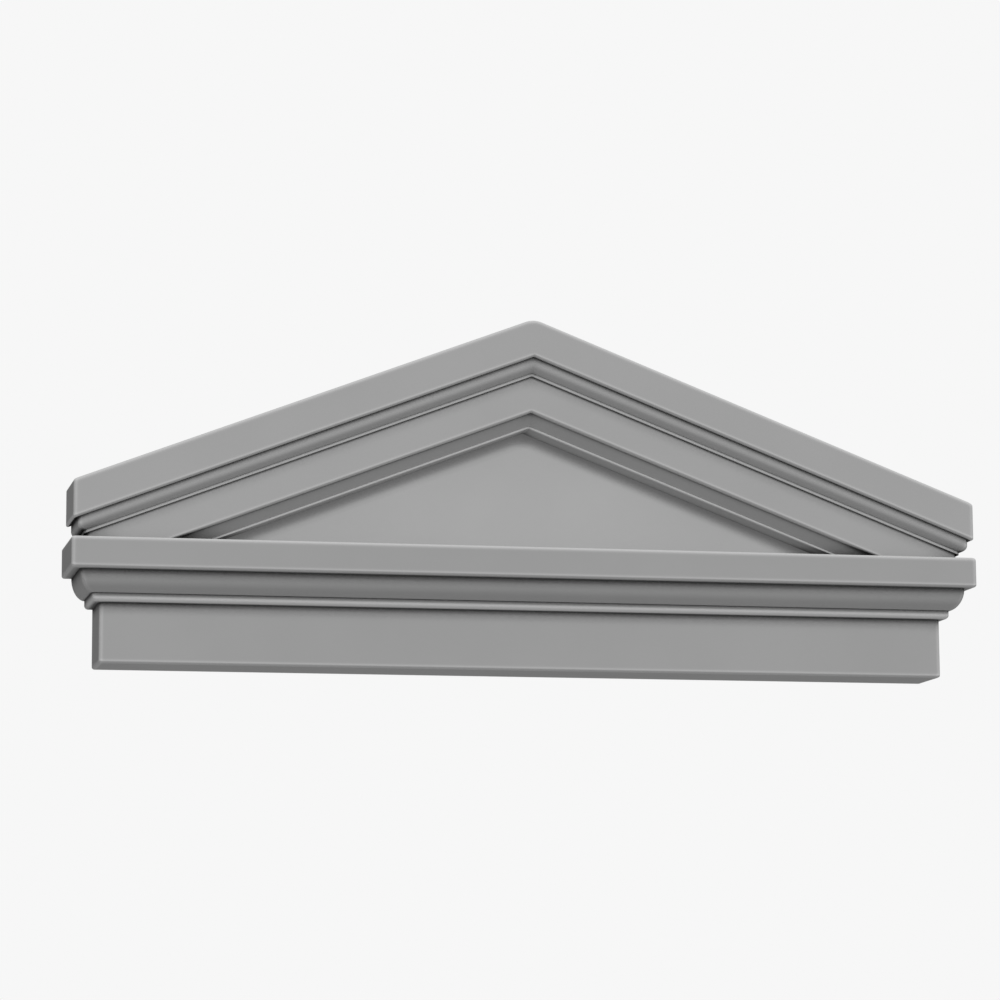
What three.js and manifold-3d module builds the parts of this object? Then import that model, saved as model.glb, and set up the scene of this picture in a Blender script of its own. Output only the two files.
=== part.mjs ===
// Classical pediment: a plain frieze, a bead, an ovolo and a corona, with a triangular gable above.
// Millimetres, +Z up, front facing -Y. The origin is the middle of the bounding box, at the underside.
// While it is built, the wall plane is Y = 0 and the work projects from it towards -Y.

import * as THREE from 'three';
import { mergeVertices } from 'three/addons/utils/BufferGeometryUtils.js';
import Module from 'manifold-3d';

// Frieze, the plain board at the bottom
const FRIEZE_LENGTH = 1120;
const FRIEZE_DEPTH = 82;
const FRIEZE_HEIGHT = 77.5;

// Mouldings under the corona, each with its overhang past the frieze
const BEAD_HEIGHT = 11;
const BEAD_OVERHANG = 10.5;
const BEAD_RADIUS = 5;
const OVOLO_HEIGHT = 28.5;
const OVOLO_FOOT_OVERHANG = 12.5;
const OVOLO_TOP_OVERHANG = 27.5;
const OVOLO_SWEEP_DEGREES = 78;

// Corona, the widest and deepest member
const CORONA_HEIGHT = 39.5;
const CORONA_OVERHANG = 40;

// Gable: its place on the corona, its pitch and the rise of its apex
const GABLE_SETBACK = 2;
const PITCH_DEGREES = 20.9;
const APEX_RISE = 301;
const APEX_RADIUS = 30;

// Raking members from the top down: plumb heights, and how far each face is set in from the one above
const UPPER_FASCIA_HEIGHT = 50;
const UPPER_SOFFIT = 6.5;
const RAKING_PLUMB_HEIGHT = 7.5;
const RAKING_OVOLO_HEIGHT = 11.8;
const RAKING_OVOLO_WIDTH = 8.5;
const RAKING_SWEEP_DEGREES = 60;
const RAKING_FILLET_HEIGHT = 4.3;
const RAKING_FILLET_STEP = 0.5;
const LOWER_FASCIA_HEIGHT = 47.2;
const LOWER_FASCIA_STEP = 3.5;
const BED_SOFFIT = 7;
const BED_BEVEL_HEIGHT = 14.9;
const BED_BEVEL_WIDTH = 11;
const BED_FILLET_HEIGHT = 3.5;
const BED_FILLET_STEP = 0.5;

// Tympanum, the sunk panel, and the rebate along the back of the rakes
const TYMPANUM_SOFFIT = 39;
const REBATE_DEPTH = 29;
const REBATE_WIDTH = 40;

// Softened arrises, and the facets of each curve
const ARRIS_RADIUS = 3.5;
const CORNER_RADIUS = 4;
const ARRIS_STEPS = 3;
const CURVE_STEPS = 10;
const APEX_STEPS = 6;

// Gable joined into the corona, and blocks cut away beyond what they cut
const EMBED = 6;
const BEYOND = 25;

const FINISH = { color: 0x9a9a9a, roughness: 0.75, metalness: 0 };

const rakeAngle = THREE.MathUtils.degToRad(PITCH_DEGREES);
const rakeSlope = Math.tan(rakeAngle);

const coronaHalf = FRIEZE_LENGTH / 2 + CORONA_OVERHANG;
const coronaDepth = FRIEZE_DEPTH + CORONA_OVERHANG;
const ovoloFoot = FRIEZE_HEIGHT + BEAD_HEIGHT;
const coronaFoot = ovoloFoot + OVOLO_HEIGHT;
const coronaTop = coronaFoot + CORONA_HEIGHT;

const gableHalf = coronaHalf - GABLE_SETBACK;
const gableDepth = coronaDepth - GABLE_SETBACK;
const apexHeight = coronaTop + APEX_RISE;

const wasm = await Module();
wasm.setup();

// A corner of a section, with the radius that softens it
function corner(across, up, radius = 0) {
  return { at: new THREE.Vector2(across, up), radius };
}

// Points of a convex curve that starts plumb at its top; a sweep of 90 degrees would end it level
function ovolo(across, up, width, height, sweepDegrees) {
  const sweep = THREE.MathUtils.degToRad(sweepDegrees);
  const points = [];
  for (let step = 0; step <= CURVE_STEPS; step += 1) {
    const angle = (step / CURVE_STEPS) * sweep;
    const inward = (1 - Math.cos(angle)) / (1 - Math.cos(sweep));
    points.push(corner(across + width * inward, up - (height * Math.sin(angle)) / Math.sin(sweep)));
  }
  return points;
}

// Points of the arc that softens one corner between its neighbours
function softened(before, here, after) {
  if (here.radius === 0) {
    return [here.at];
  }
  const toBefore = before.at.clone().sub(here.at).normalize();
  const toAfter = after.at.clone().sub(here.at).normalize();
  const halfAngle = Math.acos(THREE.MathUtils.clamp(toBefore.dot(toAfter), -1, 1)) / 2;
  const reach = here.radius / Math.tan(halfAngle);
  const start = here.at.clone().addScaledVector(toBefore, reach);
  const end = here.at.clone().addScaledVector(toAfter, reach);
  const inward = toBefore.add(toAfter).normalize();
  const centre = here.at.clone().addScaledVector(inward, here.radius / Math.sin(halfAngle));
  const from = start.sub(centre);
  const turn = Math.atan2(from.cross(end.clone().sub(centre)), from.dot(end.sub(centre)));
  const points = [];
  for (let step = 0; step <= ARRIS_STEPS; step += 1) {
    const arm = from.clone().rotateAround(new THREE.Vector2(0, 0), (turn * step) / ARRIS_STEPS);
    points.push(centre.clone().add(arm));
  }
  return points;
}

// A closed section: the distance in from the outermost face, and the height
function section(corners) {
  const count = corners.length;
  return corners.flatMap((here, index) =>
    softened(corners[(index + count - 1) % count], here, corners[(index + 1) % count]));
}

// Places where the section stands on one side: behind the wall plane, then round the plan corner
function sideStations(side, half, depth) {
  const stations = [(inset) => [side * (half - inset), BEYOND]];
  for (let step = 0; step <= ARRIS_STEPS; step += 1) {
    const angle = (step / ARRIS_STEPS) * (Math.PI / 2);
    stations.push((inset) => [
      side * (half - inset - CORNER_RADIUS * (1 - Math.cos(angle))),
      inset - depth + CORNER_RADIUS * (1 - Math.sin(angle)),
    ]);
  }
  return stations;
}

// The section carried along the left return, the front and the right return, with mitred corners.
// heightAt gives the height of a section point at a place along the front.
function carried(points, half, depth, middle, heightAt) {
  const stations = [
    ...sideStations(-1, half, depth),
    ...middle,
    ...sideStations(1, half, depth).reverse(),
  ];
  const positions = stations.flatMap((place) => points.flatMap((point) => {
    const [x, y] = place(point.x, point.y);
    return [x, y, heightAt(x, point.y)];
  }));
  const count = points.length;
  const index = [];
  for (let station = 0; station < stations.length - 1; station += 1) {
    for (let here = 0; here < count; here += 1) {
      const next = (here + 1) % count;
      const a = station * count + here;
      const b = station * count + next;
      index.push(a, b, b + count, a, b + count, a + count);
    }
  }
  const last = (stations.length - 1) * count;
  for (const [a, b, c] of THREE.ShapeUtils.triangulateShape(points, [])) {
    index.push(a, c, b, last + a, last + b, last + c);
  }
  const geometry = new THREE.BufferGeometry();
  geometry.setAttribute('position', new THREE.Float32BufferAttribute(positions, 3));
  geometry.setIndex(index);
  return solid(geometry);
}

// A prism between two depths from the wall plane, from an outline of across and up
function slab(outline, front, back) {
  const shape = new THREE.Shape(outline.map(([x, z]) => new THREE.Vector2(x, z)));
  const geometry = new THREE.ExtrudeGeometry(shape, { depth: front - back, bevelEnabled: false });
  geometry.rotateX(Math.PI / 2);
  geometry.translate(0, -back, 0);
  return solid(geometry);
}

// A closed geometry as a solid, turned so that its faces point out
function solid(geometry) {
  geometry.deleteAttribute('normal');
  geometry.deleteAttribute('uv');
  const merged = mergeVertices(geometry, 1e-4);
  const vertProperties = new Float32Array(merged.attributes.position.array);
  const triVerts = new Uint32Array(merged.index.array);
  if (enclosedVolume(vertProperties, triVerts) < 0) {
    triVerts.reverse();
  }
  return new wasm.Manifold(new wasm.Mesh({ numProp: 3, vertProperties, triVerts }));
}

function enclosedVolume(positions, index) {
  const [a, b, c] = [new THREE.Vector3(), new THREE.Vector3(), new THREE.Vector3()];
  let sum = 0;
  for (let first = 0; first < index.length; first += 3) {
    a.fromArray(positions, index[first] * 3);
    b.fromArray(positions, index[first + 1] * 3);
    c.fromArray(positions, index[first + 2] * 3);
    sum += a.dot(b.cross(c)) / 6;
  }
  return sum;
}

// Frieze, bead, ovolo and corona, as one section carried round the three sides
function entablature() {
  const friezeInset = CORONA_OVERHANG;
  const beadInset = CORONA_OVERHANG - BEAD_OVERHANG;
  const ovoloInset = CORONA_OVERHANG - OVOLO_TOP_OVERHANG;
  const ovoloWidth = OVOLO_TOP_OVERHANG - OVOLO_FOOT_OVERHANG;
  const points = section([
    corner(0, coronaTop, ARRIS_RADIUS),
    corner(0, coronaFoot, ARRIS_RADIUS),
    ...ovolo(ovoloInset, coronaFoot, ovoloWidth, OVOLO_HEIGHT, OVOLO_SWEEP_DEGREES),
    corner(beadInset, ovoloFoot),
    corner(beadInset, FRIEZE_HEIGHT, BEAD_RADIUS),
    corner(friezeInset, FRIEZE_HEIGHT),
    corner(friezeInset, 0, ARRIS_RADIUS),
    corner(coronaDepth, 0),
    corner(coronaDepth, coronaTop),
  ]);
  return carried(points, coronaHalf, coronaDepth, [], (x, up) => up);
}

// Insets of the raking faces from the upper fascia, added up from one member to the next
const ovoloInset = UPPER_SOFFIT;
const filletInset = ovoloInset + RAKING_OVOLO_WIDTH + RAKING_FILLET_STEP;
const lowerFasciaInset = filletInset + LOWER_FASCIA_STEP;
const bedInset = lowerFasciaInset + BED_SOFFIT;
const bedFilletInset = bedInset + BED_BEVEL_WIDTH + BED_FILLET_STEP;
const tympanumInset = bedFilletInset + TYMPANUM_SOFFIT;
const gableBackInset = gableDepth - REBATE_DEPTH;

// Heights of the raking lines where they would meet over the middle
const upperFasciaFoot = apexHeight - UPPER_FASCIA_HEIGHT;
const rakingOvoloTop = upperFasciaFoot - RAKING_PLUMB_HEIGHT;
const rakingOvoloFoot = rakingOvoloTop - RAKING_OVOLO_HEIGHT;
const rakingFilletFoot = rakingOvoloFoot - RAKING_FILLET_HEIGHT;
const lowerFasciaFoot = rakingFilletFoot - LOWER_FASCIA_HEIGHT;
const bedBevelFoot = lowerFasciaFoot - BED_BEVEL_HEIGHT;
const bedFilletFoot = bedBevelFoot - BED_FILLET_HEIGHT;

// The two rakes and their returns, as one section carried up over the apex
function rakingCornice() {
  const points = section([
    corner(0, apexHeight, ARRIS_RADIUS),
    corner(0, upperFasciaFoot, ARRIS_RADIUS),
    corner(ovoloInset, upperFasciaFoot),
    ...ovolo(ovoloInset, rakingOvoloTop, RAKING_OVOLO_WIDTH, RAKING_OVOLO_HEIGHT, RAKING_SWEEP_DEGREES),
    corner(filletInset, rakingOvoloFoot),
    corner(filletInset, rakingFilletFoot),
    corner(lowerFasciaInset, rakingFilletFoot),
    corner(lowerFasciaInset, lowerFasciaFoot, ARRIS_RADIUS),
    corner(bedInset, lowerFasciaFoot),
    corner(bedInset + BED_BEVEL_WIDTH, bedBevelFoot),
    corner(bedFilletInset, bedBevelFoot),
    corner(bedFilletInset, bedFilletFoot),
    corner(gableBackInset, bedFilletFoot),
    corner(gableBackInset, apexHeight),
  ]);
  const softApex = (up) => (up > apexHeight - ARRIS_RADIUS * 2 ? APEX_RADIUS : ARRIS_RADIUS);
  const middle = [];
  for (let step = 0; step <= APEX_STEPS; step += 1) {
    const angle = rakeAngle * ((2 * step) / APEX_STEPS - 1);
    middle.push((inset, up) => [softApex(up) * Math.sin(angle), inset - gableDepth]);
  }
  const heightAt = (x, up) => {
    const radius = softApex(up);
    if (Math.abs(x) >= radius * Math.sin(rakeAngle)) {
      return up - rakeSlope * Math.abs(x);
    }
    return up - radius / Math.cos(rakeAngle) + Math.sqrt(radius * radius - x * x);
  };
  return carried(points, gableHalf, gableDepth, middle, heightAt);
}

// The sunk panel, and the block behind it that bears on the wall inside the rebate
function tympanum() {
  const foot = coronaTop - EMBED;
  const panelHalf = (lowerFasciaFoot - foot) / rakeSlope;
  const panelOutline = [[-panelHalf, foot], [panelHalf, foot], [0, lowerFasciaFoot]];
  const panel = slab(panelOutline, gableDepth - tympanumInset, REBATE_DEPTH);
  const backingHalf = gableHalf - REBATE_WIDTH;
  const backingApex = apexHeight - REBATE_WIDTH;
  const eaves = backingApex - rakeSlope * backingHalf;
  const backingOutline = [
    [-backingHalf, foot], [backingHalf, foot], [backingHalf, eaves], [0, backingApex], [-backingHalf, eaves],
  ];
  return panel.add(slab(backingOutline, REBATE_DEPTH + EMBED, 0));
}

// A box of solid from one corner to the other
function block(from, to) {
  const size = to.clone().sub(from);
  const geometry = new THREE.BoxGeometry(size.x, size.y, size.z);
  const centre = from.clone().add(to).multiplyScalar(0.5);
  geometry.translate(centre.x, centre.y, centre.z);
  return solid(geometry);
}

// Everything behind the wall plane, behind the rebate and below the gable's seat is cut off flat
function pediment() {
  const wide = coronaHalf + BEYOND;
  const behindWall = block(new THREE.Vector3(-wide, 0, -BEYOND),
    new THREE.Vector3(wide, BEYOND * 2, apexHeight + BEYOND));
  const seat = block(new THREE.Vector3(-wide, -coronaDepth - BEYOND, -apexHeight),
    new THREE.Vector3(wide, BEYOND * 2, coronaTop - EMBED));
  const rebate = block(new THREE.Vector3(-wide, -REBATE_DEPTH, -apexHeight),
    new THREE.Vector3(wide, BEYOND * 2, apexHeight + BEYOND));
  const rakes = rakingCornice().subtract(rebate).subtract(seat);
  return entablature().subtract(behindWall).add(rakes).add(tympanum());
}

// The solid's surface as a mesh
function mesh(name, shape) {
  const { vertProperties, triVerts } = shape.getMesh();
  const geometry = new THREE.BufferGeometry();
  geometry.setAttribute('position', new THREE.Float32BufferAttribute(vertProperties, 3));
  geometry.setIndex(new THREE.BufferAttribute(triVerts, 1));
  geometry.computeVertexNormals();
  const piece = new THREE.Mesh(geometry, new THREE.MeshStandardMaterial(FINISH));
  piece.name = name;
  return piece;
}

const group = new THREE.Group();
const whole = mesh('pediment', pediment());
whole.position.y = coronaDepth / 2;
group.add(whole);

export default group;
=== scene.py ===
"""Looks of the classical pediment: one moulded piece under a grey matt coat, rebuilt with fine curves.

Metres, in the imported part's frame: +Z up, the front faces -Y, the wall plane is the box's +Y side.
"""

import math

import bmesh
import bpy
from mathutils import Euler, Matrix, Vector


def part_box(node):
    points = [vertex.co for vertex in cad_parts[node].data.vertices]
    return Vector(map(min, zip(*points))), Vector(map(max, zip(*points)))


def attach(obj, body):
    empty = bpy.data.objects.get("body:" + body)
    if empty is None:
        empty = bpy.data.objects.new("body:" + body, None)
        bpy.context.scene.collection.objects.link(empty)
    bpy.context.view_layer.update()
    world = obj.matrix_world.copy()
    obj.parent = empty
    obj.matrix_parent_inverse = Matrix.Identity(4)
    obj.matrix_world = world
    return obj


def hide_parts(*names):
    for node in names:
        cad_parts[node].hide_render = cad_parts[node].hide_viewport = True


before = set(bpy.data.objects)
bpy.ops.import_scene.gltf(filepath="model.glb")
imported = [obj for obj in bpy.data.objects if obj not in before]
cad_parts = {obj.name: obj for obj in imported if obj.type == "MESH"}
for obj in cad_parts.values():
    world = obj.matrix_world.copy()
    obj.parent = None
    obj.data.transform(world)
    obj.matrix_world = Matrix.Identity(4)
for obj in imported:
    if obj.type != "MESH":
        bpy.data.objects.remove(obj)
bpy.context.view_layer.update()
part_low, part_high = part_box("pediment")

# Overall sizes, read from the frame
MM = 0.001
WALL_Y = part_high[1]
LENGTH = part_high[0] - part_low[0]
DEPTH = part_high[1] - part_low[1]

# Heights and overhangs of the entablature's members
FRIEZE_HEIGHT = 77.5 * MM
BEAD_HEIGHT = 11 * MM
BEAD_OVERHANG = 10.5 * MM
BEAD_RADIUS = 5 * MM
OVOLO_HEIGHT = 28.5 * MM
OVOLO_FOOT_OVERHANG = 12.5 * MM
OVOLO_TOP_OVERHANG = 27.5 * MM
OVOLO_SWEEP_DEGREES = 78
CORONA_HEIGHT = 39.5 * MM
CORONA_OVERHANG = 40 * MM

# Gable and its raking members
GABLE_SETBACK = 2 * MM
PITCH_DEGREES = 20.9
APEX_RISE = 301 * MM
APEX_RADIUS = 30 * MM
UPPER_FASCIA_HEIGHT = 50 * MM
UPPER_SOFFIT = 6.5 * MM
RAKING_PLUMB_HEIGHT = 7.5 * MM
RAKING_OVOLO_HEIGHT = 11.8 * MM
RAKING_OVOLO_WIDTH = 8.5 * MM
RAKING_SWEEP_DEGREES = 60
RAKING_FILLET_HEIGHT = 4.3 * MM
RAKING_FILLET_STEP = 0.5 * MM
LOWER_FASCIA_HEIGHT = 47.2 * MM
LOWER_FASCIA_STEP = 3.5 * MM
BED_SOFFIT = 7 * MM
BED_BEVEL_HEIGHT = 14.9 * MM
BED_BEVEL_WIDTH = 11 * MM
BED_FILLET_HEIGHT = 3.5 * MM
BED_FILLET_STEP = 0.5 * MM
TYMPANUM_SOFFIT = 39 * MM
REBATE_DEPTH = 29 * MM
REBATE_WIDTH = 40 * MM

# Softened arrises, and the facets of each curve
ARRIS_RADIUS = 3.5 * MM
FINE_RADIUS = 1 * MM
CORNER_RADIUS = 4 * MM
ARRIS_STEPS = 6
CURVE_STEPS = 24
APEX_STEPS = 12

# Solids sunk into each other, and blocks cut away beyond what they cut
EMBED = 6 * MM
BEYOND = 25 * MM

# Faces that turn by less than this are one face, edges that turn by more than this are crisp,
# and the larger face at an edge leads its shading
FLAT_DEGREES = 0.2
CRISP_DEGREES = 30
FACE_WEIGHT = 100

# Grey coat: its two linear greys and the soft cloud between them, and how much paler the gable is
COAT_DARK = 0.335
COAT_LIGHT = 0.35
COAT_ROUGHNESS = 0.75
COAT_SPECULAR = 0.2
CLOUD_SCALE = 5
CLOUD_DETAIL = 5
CLOUD_RANGE = (0.3, 0.7)
GABLE_LIFT = 1.085
# Painted light: how much paler the sunk panel is painted, to make up for the light the rakes keep from it
PANEL_LIGHT_LIFT = 1.22

# Fine grain of the coat
GRAIN_SCALE = 900
GRAIN_DETAIL = 3
GRAIN_DEPTH = 0.4 * MM
GRAIN_STRENGTH = 0.12

# Shade of a recess: its reach, how far the surface's direction is tilted up to find what overhangs,
# how open the surface is where the shade starts and where it is full, and its tone
RECESS_REACH = 22 * MM
RECESS_TILT = 0.8
RECESS_RANGE = (0.8, 0.42)
RECESS_TONE = 0.03
SUNK_SHADE = 0.7

# Painted highlight on the arrises, found in the same way, and on the bead's lower half
ARRIS_HIGHLIGHT_REACH = 5.5 * MM
ARRIS_HIGHLIGHT_RANGE = (0.97, 0.77)
ARRIS_HIGHLIGHT_GREY = 0.55
BEAD_HIGHLIGHT_GREY = 0.6
BEAD_HIGHLIGHT_FROM = 8 * MM
BEAD_HIGHLIGHT_TO = 5 * MM
REACH_RAYS = 8

# Studio: the surround, the high and fill lights in front, and the floor
AMBIENT = 0.3
SURROUND_SEEN = 0.93
LIGHT_FROM = (0.15, -1, 1.54)
LIGHT_STRENGTH = 2.64
LIGHT_SPREAD = 20
FILL_FROM = (0, -1, -0.35)
FILL_STRENGTH = 0.35
FLOOR_DROP = 1.2
FLOOR_RADIUS = 28
FLOOR_SIDES = 96
FLOOR_GREY = 0.42
FLOOR_ROUGHNESS = 0.9

# Camera: the photograph's viewpoint, measured from the wall plane
PICTURE_PIXELS = 1000
FOCAL_PIXELS = 3677.6
SENSOR = 36
CAMERA_X = -1.066
CAMERA_Y = -4.7082
CAMERA_Z = -0.5131
CAMERA_YAW = 12.518
CAMERA_PITCH = 8.824
CAMERA_ROLL = -0.365
FAR_CLIP = 100

# Places worked out from the sizes above, as in the solid
RAKE_ANGLE = math.radians(PITCH_DEGREES)
RAKE_SLOPE = math.tan(RAKE_ANGLE)
CORONA_HALF = LENGTH / 2
OVOLO_FOOT = FRIEZE_HEIGHT + BEAD_HEIGHT
CORONA_FOOT = OVOLO_FOOT + OVOLO_HEIGHT
CORONA_TOP = CORONA_FOOT + CORONA_HEIGHT
GABLE_HALF = CORONA_HALF - GABLE_SETBACK
GABLE_DEPTH = DEPTH - GABLE_SETBACK
APEX_HEIGHT = CORONA_TOP + APEX_RISE

OVOLO_INSET = UPPER_SOFFIT
FILLET_INSET = OVOLO_INSET + RAKING_OVOLO_WIDTH + RAKING_FILLET_STEP
LOWER_FASCIA_INSET = FILLET_INSET + LOWER_FASCIA_STEP
BED_INSET = LOWER_FASCIA_INSET + BED_SOFFIT
BED_FILLET_INSET = BED_INSET + BED_BEVEL_WIDTH + BED_FILLET_STEP
TYMPANUM_INSET = BED_FILLET_INSET + TYMPANUM_SOFFIT
GABLE_BACK_INSET = GABLE_DEPTH - REBATE_DEPTH

UPPER_FASCIA_FOOT = APEX_HEIGHT - UPPER_FASCIA_HEIGHT
RAKING_OVOLO_TOP = UPPER_FASCIA_FOOT - RAKING_PLUMB_HEIGHT
RAKING_OVOLO_FOOT = RAKING_OVOLO_TOP - RAKING_OVOLO_HEIGHT
RAKING_FILLET_FOOT = RAKING_OVOLO_FOOT - RAKING_FILLET_HEIGHT
LOWER_FASCIA_FOOT = RAKING_FILLET_FOOT - LOWER_FASCIA_HEIGHT
BED_BEVEL_FOOT = LOWER_FASCIA_FOOT - BED_BEVEL_HEIGHT
BED_FILLET_FOOT = BED_BEVEL_FOOT - BED_FILLET_HEIGHT


# Sections: points of (inset, height), from corners of (inset, height, radius)

def ovolo(inset, top, width, height, sweep_degrees):
    """A convex curve, plumb at its top; a sweep of 90 degrees would end it level."""
    sweep = math.radians(sweep_degrees)
    points = []
    for step in range(CURVE_STEPS + 1):
        angle = sweep * step / CURVE_STEPS
        inward = (1 - math.cos(angle)) / (1 - math.cos(sweep))
        points.append((inset + width * inward, top - height * math.sin(angle) / math.sin(sweep), 0))
    return points


def softened(before, here, after):
    """The arc that softens one corner between its neighbours."""
    radius = here[2]
    corner = Vector(here[:2])
    if radius == 0:
        return [tuple(corner)]
    to_before = (Vector(before[:2]) - corner).normalized()
    to_after = (Vector(after[:2]) - corner).normalized()
    half_angle = to_before.angle(to_after) / 2
    centre = corner + (to_before + to_after).normalized() * radius / math.sin(half_angle)
    arm = corner + to_before * radius / math.tan(half_angle) - centre
    end = corner + to_after * radius / math.tan(half_angle) - centre
    turn = math.atan2(arm.x * end.y - arm.y * end.x, arm.dot(end))
    turns = [turn * step / ARRIS_STEPS for step in range(ARRIS_STEPS + 1)]
    return [tuple(centre + Matrix.Rotation(angle, 2) @ arm) for angle in turns]


def section(corners):
    """A closed section, with its corners softened."""
    count = len(corners)
    points = []
    for index, here in enumerate(corners):
        points += softened(corners[index - 1], here, corners[(index + 1) % count])
    return points


# Solids

def side_stations(side, half, depth):
    """Places of the section on one side: behind the wall plane, then round the plan corner."""
    stations = [lambda inset, height: (side * (half - inset), BEYOND)]
    for step in range(ARRIS_STEPS + 1):
        angle = step / ARRIS_STEPS * math.pi / 2
        across = CORNER_RADIUS * (1 - math.cos(angle))
        along = CORNER_RADIUS * (1 - math.sin(angle))
        stations.append(lambda inset, height, across=across, along=along: (
            side * (half - inset - across), inset - depth + along))
    return stations


def carried(name, points, half, depth, middle, height_at):
    """The section carried along the left return, the front and the right return, with mitred corners."""
    stations = side_stations(-1, half, depth) + middle + side_stations(1, half, depth)[::-1]
    mesh = bmesh.new()
    rings = []
    for place in stations:
        ring = []
        for inset, height in points:
            x, y = place(inset, height)
            ring.append(mesh.verts.new((x, y + WALL_Y, height_at(x, height))))
        rings.append(ring)
    count = len(points)
    for first, second in zip(rings, rings[1:]):
        for here in range(count):
            after = (here + 1) % count
            mesh.faces.new((first[here], first[after], second[after], second[here]))
    mesh.faces.new(rings[0][::-1])
    mesh.faces.new(rings[-1])
    return finished(name, mesh)


def prism(name, outline, front, back):
    """A prism between two distances from the wall plane, from an outline of (across, up)."""
    mesh = bmesh.new()
    near = [mesh.verts.new((x, WALL_Y - front, z)) for x, z in outline]
    far = [mesh.verts.new((x, WALL_Y - back, z)) for x, z in outline]
    mesh.faces.new(near)
    mesh.faces.new(far[::-1])
    for here in range(len(outline)):
        after = (here + 1) % len(outline)
        mesh.faces.new((near[here], far[here], far[after], near[after]))
    return finished(name, mesh)


def finished(name, mesh):
    """A closed mesh as an object, its faces pointing out."""
    bmesh.ops.recalc_face_normals(mesh, faces=mesh.faces)
    data = bpy.data.meshes.new(name)
    mesh.to_mesh(data)
    mesh.free()
    piece = bpy.data.objects.new(name, data)
    bpy.context.scene.collection.objects.link(piece)
    return piece


def combine(piece, other, operation):
    """Joins another closed solid to a piece, or cuts it away, and removes the other."""
    modifier = piece.modifiers.new("combine", "BOOLEAN")
    modifier.operation = operation
    modifier.solver = "EXACT"
    modifier.object = other
    bake_modifiers(piece)
    bpy.data.objects.remove(other)


def bake_modifiers(piece):
    """Turns what the modifiers make into the piece's own mesh."""
    evaluated = piece.evaluated_get(bpy.context.evaluated_depsgraph_get())
    data = bpy.data.meshes.new_from_object(evaluated)
    piece.modifiers.clear()
    piece.data = data


def entablature():
    """Frieze, bead, ovolo and corona."""
    frieze_inset = CORONA_OVERHANG
    bead_inset = CORONA_OVERHANG - BEAD_OVERHANG
    ovolo_inset = CORONA_OVERHANG - OVOLO_TOP_OVERHANG
    ovolo_width = OVOLO_TOP_OVERHANG - OVOLO_FOOT_OVERHANG
    points = section([
        (0, CORONA_TOP, ARRIS_RADIUS),
        (0, CORONA_FOOT, ARRIS_RADIUS),
        *ovolo(ovolo_inset, CORONA_FOOT, ovolo_width, OVOLO_HEIGHT, OVOLO_SWEEP_DEGREES),
        (bead_inset, OVOLO_FOOT, 0),
        (bead_inset, FRIEZE_HEIGHT, BEAD_RADIUS),
        (frieze_inset, FRIEZE_HEIGHT, 0),
        (frieze_inset, 0, ARRIS_RADIUS),
        (DEPTH, 0, 0),
        (DEPTH, CORONA_TOP, 0),
    ])
    return carried("pediment_form", points, CORONA_HALF, DEPTH, [], lambda x, height: height)


def raking_cornice():
    """The two rakes and their returns, carried up over the apex."""
    points = section([
        (0, APEX_HEIGHT, ARRIS_RADIUS),
        (0, UPPER_FASCIA_FOOT, ARRIS_RADIUS),
        (OVOLO_INSET, UPPER_FASCIA_FOOT, 0),
        *ovolo(OVOLO_INSET, RAKING_OVOLO_TOP, RAKING_OVOLO_WIDTH, RAKING_OVOLO_HEIGHT, RAKING_SWEEP_DEGREES),
        (FILLET_INSET, RAKING_OVOLO_FOOT, 0),
        (FILLET_INSET, RAKING_FILLET_FOOT, FINE_RADIUS),
        (LOWER_FASCIA_INSET, RAKING_FILLET_FOOT, 0),
        (LOWER_FASCIA_INSET, LOWER_FASCIA_FOOT, ARRIS_RADIUS),
        (BED_INSET, LOWER_FASCIA_FOOT, 0),
        (BED_INSET + BED_BEVEL_WIDTH, BED_BEVEL_FOOT, 0),
        (BED_FILLET_INSET, BED_BEVEL_FOOT, 0),
        (BED_FILLET_INSET, BED_FILLET_FOOT, FINE_RADIUS),
        (GABLE_BACK_INSET, BED_FILLET_FOOT, 0),
        (GABLE_BACK_INSET, APEX_HEIGHT, 0),
    ])

    def apex_radius(height):
        return APEX_RADIUS if height > APEX_HEIGHT - 2 * ARRIS_RADIUS else ARRIS_RADIUS

    def apex_station(angle):
        return lambda inset, height: (apex_radius(height) * math.sin(angle), inset - GABLE_DEPTH)

    def height_at(x, height):
        radius = apex_radius(height)
        if abs(x) >= radius * math.sin(RAKE_ANGLE):
            return height - RAKE_SLOPE * abs(x)
        return height - radius / math.cos(RAKE_ANGLE) + math.sqrt(radius ** 2 - x ** 2)

    middle = [apex_station(RAKE_ANGLE * (2 * step / APEX_STEPS - 1)) for step in range(APEX_STEPS + 1)]
    return carried("rakes", points, GABLE_HALF, GABLE_DEPTH, middle, height_at)


def cut_block(name, low_z, high_z, front):
    """A block wider than the work, from a distance in front of the wall plane to well behind it."""
    wide = CORONA_HALF + BEYOND
    return prism(name, [(-wide, low_z), (wide, low_z), (wide, high_z), (-wide, high_z)], front, -2 * BEYOND)


def gable_panel():
    """The sunk panel between the rakes."""
    foot = CORONA_TOP - EMBED
    half = (LOWER_FASCIA_FOOT - foot) / RAKE_SLOPE
    outline = [(-half, foot), (half, foot), (0, LOWER_FASCIA_FOOT)]
    return prism("panel", outline, GABLE_DEPTH - TYMPANUM_INSET, REBATE_DEPTH - EMBED)


def gable_backing():
    """The block that bears on the wall, inside the rebate."""
    foot = CORONA_TOP - EMBED
    half = GABLE_HALF - REBATE_WIDTH
    apex = APEX_HEIGHT - REBATE_WIDTH
    eaves = apex - RAKE_SLOPE * half
    outline = [(-half, foot), (half, foot), (half, eaves), (0, apex), (-half, eaves)]
    return prism("backing", outline, REBATE_DEPTH + EMBED, -EMBED)


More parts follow.
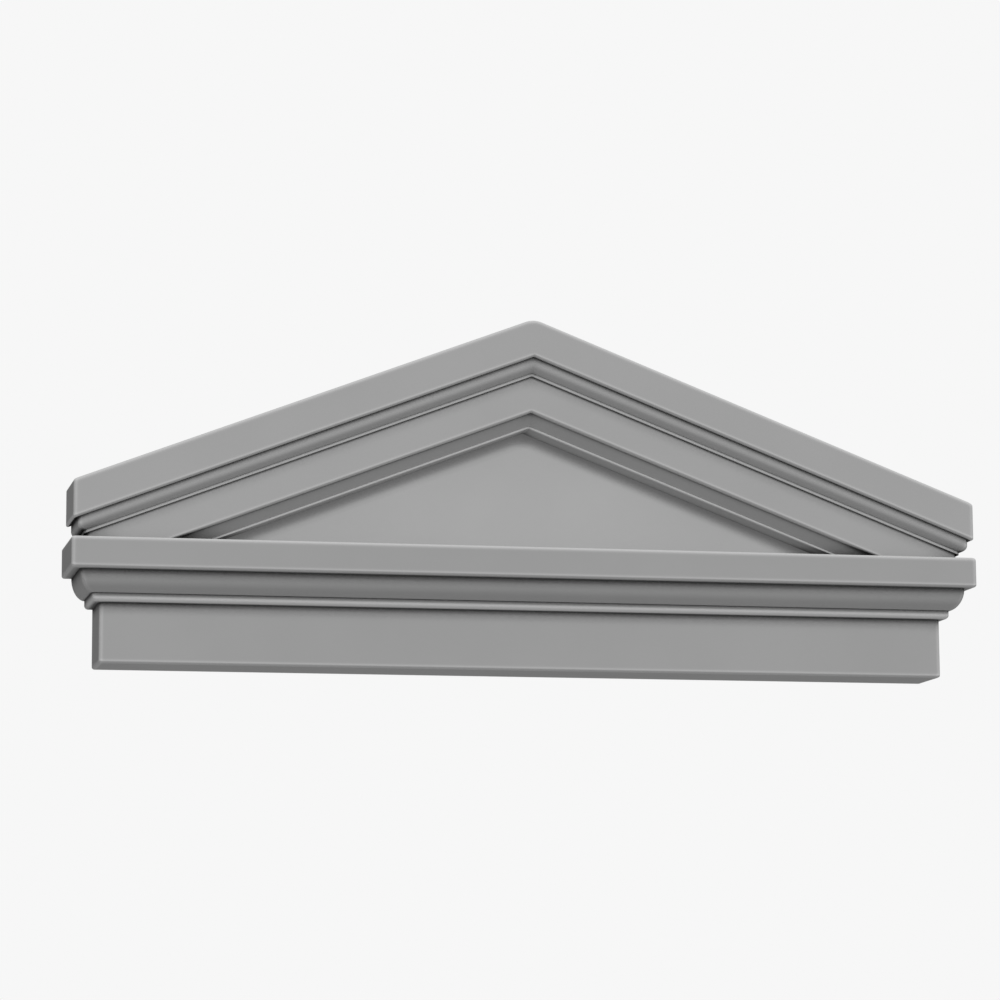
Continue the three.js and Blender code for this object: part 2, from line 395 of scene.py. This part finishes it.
def pediment():
    """The whole work as one closed mesh."""
    backing = gable_backing()
    combine(backing, gable_panel(), "UNION")
    rakes = raking_cornice()
    combine(rakes, cut_block("rebate", -APEX_HEIGHT, 2 * APEX_HEIGHT, REBATE_DEPTH), "DIFFERENCE")
    combine(rakes, cut_block("seat", -APEX_HEIGHT, CORONA_TOP - EMBED, 2 * DEPTH), "DIFFERENCE")
    combine(rakes, backing, "UNION")
    piece = entablature()
    for solid in (piece, rakes):
        combine(solid, cut_block("behind_wall", -BEYOND, 2 * APEX_HEIGHT, 0), "DIFFERENCE")
    combine(piece, rakes, "UNION")
    return piece


def shade(piece):
    """Makes each flat face one face, then shades the curves smooth and the flat faces crisp."""
    mesh = bmesh.new()
    mesh.from_mesh(piece.data)
    bmesh.ops.dissolve_limit(
        mesh, angle_limit=math.radians(FLAT_DEGREES), verts=mesh.verts, edges=mesh.edges)
    for face in mesh.faces:
        face.smooth = True
    for edge in mesh.edges:
        edge.smooth = edge.calc_face_angle(0) < math.radians(CRISP_DEGREES)
    mesh.to_mesh(piece.data)
    mesh.free()
    weighted = piece.modifiers.new("weighted", "WEIGHTED_NORMAL")
    weighted.keep_sharp = True
    weighted.weight = FACE_WEIGHT
    bake_modifiers(piece)


# Finish

def grey(value):
    """A neutral colour."""
    return (value, value, value, 1)


class Graph:
    """A material's nodes, added and joined in short calls."""

    def __init__(self, material):
        material.use_nodes = True
        self.nodes = material.node_tree.nodes
        self.link = material.node_tree.links.new
        self.place = self.nodes.new("ShaderNodeTexCoord").outputs["Object"]

    def axes(self):
        """The place on the object along each axis."""
        node = self.nodes.new("ShaderNodeSeparateXYZ")
        self.link(self.place, node.inputs["Vector"])
        return node.outputs["X"], node.outputs["Y"], node.outputs["Z"]

    def noise(self, scale, detail):
        """Soft noise over the object, from 0 to 1."""
        node = self.nodes.new("ShaderNodeTexNoise")
        node.inputs["Scale"].default_value = scale
        node.inputs["Detail"].default_value = detail
        self.link(self.place, node.inputs["Vector"])
        return node.outputs["Fac"]

    def ranged(self, value, source, target=(0, 1)):
        """The value carried from one range to another, with soft ends."""
        node = self.nodes.new("ShaderNodeMapRange")
        node.interpolation_type = "SMOOTHSTEP"
        node.inputs["From Min"].default_value, node.inputs["From Max"].default_value = source
        node.inputs["To Min"].default_value, node.inputs["To Max"].default_value = target
        self.link(value, node.inputs["Value"])
        return node.outputs["Result"]

    def absolute(self, value):
        """The value without its sign."""
        node = self.nodes.new("ShaderNodeMath")
        node.operation = "ABSOLUTE"
        self.link(value, node.inputs[0])
        return node.outputs["Value"]

    def both(self, first, second):
        """One mask within another."""
        node = self.nodes.new("ShaderNodeMath")
        node.operation = "MULTIPLY"
        self.link(first, node.inputs[0])
        self.link(second, node.inputs[1])
        return node.outputs["Value"]

    def mixed(self, factor, first, second):
        """A colour between two, each a plain colour or a socket."""
        node = self.nodes.new("ShaderNodeMix")
        node.data_type = "RGBA"
        self.link(factor, node.inputs["Factor"])
        for socket, colour in (("A", first), ("B", second)):
            if isinstance(colour, tuple):
                node.inputs[socket].default_value = colour
            else:
                self.link(colour, node.inputs[socket])
        return node.outputs["Result"]

    def openness(self, reach, inside, facing=None):
        """How little of the object lies within reach of its surface, on the outside or the inside."""
        node = self.nodes.new("ShaderNodeAmbientOcclusion")
        if facing:
            self.link(facing, node.inputs["Normal"])
        node.inputs["Distance"].default_value = reach
        node.inside = inside
        node.only_local = True
        node.samples = REACH_RAYS
        return node.outputs["AO"]

    def tilted_up(self, tilt):
        """The surface's direction, tilted up."""
        lifted = self.nodes.new("ShaderNodeVectorMath")
        self.link(self.nodes.new("ShaderNodeNewGeometry").outputs["Normal"], lifted.inputs[0])
        lifted.inputs[1].default_value = (0, 0, tilt)
        upward = self.nodes.new("ShaderNodeVectorMath")
        upward.operation = "NORMALIZE"
        self.link(lifted.outputs["Vector"], upward.inputs[0])
        return upward.outputs["Vector"]


def grey_coat():
    """A mid-grey matt coat, with painted shade in the recesses, painted highlights on the arrises and the
    bead, and painted light that makes the sunk panel paler.
    """
    material = bpy.data.materials.new("grey_coat")
    graph = Graph(material)
    ranged, both, mixed = graph.ranged, graph.both, graph.mixed
    along_x, along_y, along_z = graph.axes()

    # Masks by place on the object
    panel_half = (BED_FILLET_FOOT - CORONA_TOP) / RAKE_SLOPE
    panel_y = WALL_Y - GABLE_DEPTH + TYMPANUM_INSET
    between_rakes = ranged(graph.absolute(along_x), (panel_half + RECESS_REACH, panel_half))
    sunk = ranged(along_y, (panel_y - 2 * RECESS_REACH, panel_y - RECESS_REACH))
    on_panel = ranged(along_y, (panel_y - 2 * FINE_RADIUS, panel_y - FINE_RADIUS))
    in_front = ranged(along_y, (WALL_Y - ARRIS_RADIUS, panel_y + ARRIS_RADIUS))
    above = ranged(along_z, (CORONA_TOP - FINE_RADIUS, CORONA_TOP + FINE_RADIUS))
    in_gable = both(above, in_front)
    # Where the painted highlight lies on the bead's lower half
    bead_highlight_height = (FRIEZE_HEIGHT + BEAD_HIGHLIGHT_FROM, FRIEZE_HEIGHT + BEAD_HIGHLIGHT_TO)
    over_frieze = ranged(along_z, (FRIEZE_HEIGHT, FRIEZE_HEIGHT + FINE_RADIUS))
    bead_highlight = both(over_frieze, both(in_front, ranged(along_z, bead_highlight_height)))

    cloud = ranged(graph.noise(CLOUD_SCALE, CLOUD_DETAIL), CLOUD_RANGE)

    def clouded(lift):
        return mixed(cloud, grey(COAT_DARK * lift), grey(COAT_LIGHT * lift))

    coat = mixed(in_gable, clouded(1), clouded(GABLE_LIFT))
    # Painted light: the sunk panel between the rakes made paler, against the shade it lies in
    coat = mixed(both(in_gable, both(between_rakes, on_panel)), coat, clouded(PANEL_LIGHT_LIFT))
    # Painted highlight: a paler grey on the convex arrises, and paler still on the bead's lower half
    arris_highlight = ranged(graph.openness(ARRIS_HIGHLIGHT_REACH, True), ARRIS_HIGHLIGHT_RANGE)
    highlighted = mixed(bead_highlight, mixed(arris_highlight, coat, grey(ARRIS_HIGHLIGHT_GREY)), grey(BEAD_HIGHLIGHT_GREY))
    # Painted shade: the coat darkened under overhangs and in the recesses, less so in the sunk panel
    recess_shade = ranged(graph.openness(RECESS_REACH, False, graph.tilted_up(RECESS_TILT)), RECESS_RANGE)
    fainter = ranged(both(between_rakes, sunk), (0, 1), (1, SUNK_SHADE))
    shaded_coat = mixed(both(recess_shade, fainter), highlighted, grey(COAT_DARK * RECESS_TONE))

    shader = graph.nodes["Principled BSDF"]
    shader.inputs["Roughness"].default_value = COAT_ROUGHNESS
    shader.inputs["Specular IOR Level"].default_value = COAT_SPECULAR
    graph.link(shaded_coat, shader.inputs["Base Color"])
    bump = graph.nodes.new("ShaderNodeBump")
    bump.inputs["Strength"].default_value = GRAIN_STRENGTH
    bump.inputs["Distance"].default_value = GRAIN_DEPTH
    graph.link(graph.noise(GRAIN_SCALE, GRAIN_DETAIL), bump.inputs["Height"])
    graph.link(bump.outputs["Normal"], shader.inputs["Normal"])
    return material


# Studio

def floor():
    """A pale floor, far enough down to be seen under from the photograph's place."""
    mesh = bmesh.new()
    bmesh.ops.create_circle(mesh, cap_ends=True, segments=FLOOR_SIDES, radius=FLOOR_RADIUS)
    piece = finished("floor", mesh)
    piece.location.z = -FLOOR_DROP
    material = bpy.data.materials.new("pale_floor")
    material.use_nodes = True
    shader = material.node_tree.nodes["Principled BSDF"]
    shader.inputs["Base Color"].default_value = grey(FLOOR_GREY)
    shader.inputs["Roughness"].default_value = FLOOR_ROUGHNESS
    piece.data.materials.append(material)


def backdrop():
    """An even pale surround, brighter to the eye than the light it gives."""
    world = bpy.data.worlds.new("surround")
    bpy.context.scene.world = world
    world.use_nodes = True
    nodes = world.node_tree.nodes
    link = world.node_tree.links.new
    light = nodes["Background"]
    light.inputs["Color"].default_value = grey(1)
    light.inputs["Strength"].default_value = AMBIENT
    seen = nodes.new("ShaderNodeBackground")
    seen.inputs["Color"].default_value = grey(SURROUND_SEEN)
    path = nodes.new("ShaderNodeLightPath")
    mix = nodes.new("ShaderNodeMixShader")
    link(path.outputs["Is Camera Ray"], mix.inputs["Fac"])
    link(light.outputs["Background"], mix.inputs[1])
    link(seen.outputs["Background"], mix.inputs[2])
    link(mix.outputs["Shader"], nodes["World Output"].inputs["Surface"])


def soft_light(name, source, strength):
    """A broad, even light from a direction, which casts no shadow under the mouldings."""
    data = bpy.data.lights.new(name, "SUN")
    data.energy = strength
    data.angle = math.radians(LIGHT_SPREAD)
    data.use_shadow = False
    lamp = bpy.data.objects.new(name, data)
    lamp.rotation_euler = Vector(source).to_track_quat("Z", "Y").to_euler()
    bpy.context.scene.collection.objects.link(lamp)


def camera():
    """The photograph's viewpoint: a little left of the middle and below, looking up."""
    data = bpy.data.cameras.new("camera")
    data.sensor_width = SENSOR
    data.lens = FOCAL_PIXELS / PICTURE_PIXELS * SENSOR
    data.clip_end = FAR_CLIP
    eye = bpy.data.objects.new("camera", data)
    eye.location = (CAMERA_X, WALL_Y + CAMERA_Y, CAMERA_Z)
    level = Euler((math.radians(90 + CAMERA_PITCH), 0, math.radians(-CAMERA_YAW))).to_matrix()
    eye.rotation_euler = (level @ Matrix.Rotation(math.radians(CAMERA_ROLL), 3, "Z")).to_euler()
    bpy.context.scene.collection.objects.link(eye)
    bpy.context.scene.camera = eye


piece = pediment()
shade(piece)
piece.data.materials.clear()
piece.data.materials.append(grey_coat())
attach(piece, "root")
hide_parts("pediment")

floor()
backdrop()
soft_light("high_light", LIGHT_FROM, LIGHT_STRENGTH)
soft_light("fill_light", FILL_FROM, FILL_STRENGTH)
camera()
bpy.context.scene.view_settings.view_transform = "Standard"
